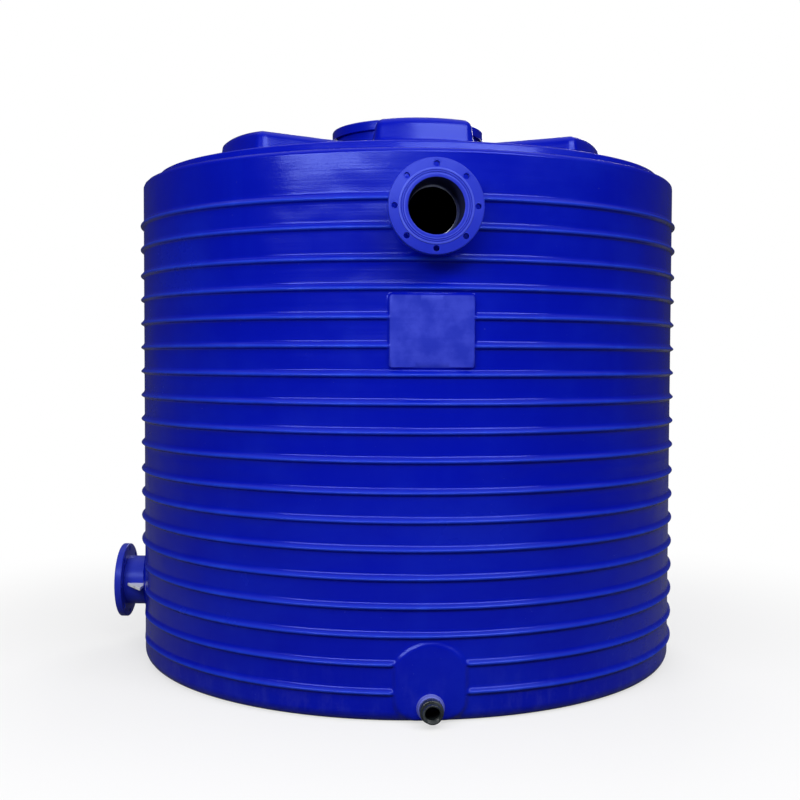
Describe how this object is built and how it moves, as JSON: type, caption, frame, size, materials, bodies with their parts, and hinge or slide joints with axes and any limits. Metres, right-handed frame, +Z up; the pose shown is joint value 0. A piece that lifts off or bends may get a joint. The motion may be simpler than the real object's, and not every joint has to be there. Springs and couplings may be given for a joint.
{
  "type": "plastic water tank",
  "caption": "Upright round ribbed plastic water tank with a flat floor, low lugged roof, manhole lid, flanged inlet and side nozzles and a threaded outlet.",
  "frame": {"origin": "centre of the flat base, at ground level", "axes": "+Z up along the tank's axis, front with the upper flanged nozzle faces -Y, +X to the right seen from the front"},
  "size_m": [2.5625, 2.5558, 2.413],
  "materials": {
    "tank_blue": "satin moulded polyethylene",
    "flange_blue": "satin machined polyethylene",
    "black_plastic": "satin",
    "pale_plastic": "satin",
    "rubber": "matt"
  },
  "bodies": {
    "tank": {"wall_front_lower": "tank_blue", "wall_front_upper": "tank_blue", "wall_front_right": "tank_blue", "wall_right": "tank_blue", "wall_back_right": "tank_blue", "wall_back": "tank_blue", "wall_back_left": "tank_blue", "wall_left": "tank_blue", "wall_front_left": "tank_blue", "tank_floor": "tank_blue", "roof_front": "tank_blue", "roof_front_right": "tank_blue", "roof_back_right": "tank_blue", "roof_back": "tank_blue", "roof_back_left": "tank_blue", "roof_front_left": "tank_blue", "manhole_neck": "tank_blue", "outlet_collar": "tank_blue", "front_pipe": "flange_blue", "front_flange": "flange_blue", "front_weld": "flange_blue", "side_pipe": "flange_blue", "side_flange": "flange_blue", "side_weld": "flange_blue", "side_gusset_near": "pale_plastic", "side_gusset_far": "pale_plastic", "outlet_nut": "black_plastic", "outlet_socket": "black_plastic"},
    "lid": {"manhole_lid": "tank_blue", "manhole_gasket": "rubber"}
  },
  "joints": [
    {"name": "lid_lift", "type": "slide", "parent": "tank", "child": "lid", "axis": [0, 0, 1], "range_m": [0, 0.35]}
  ]
}
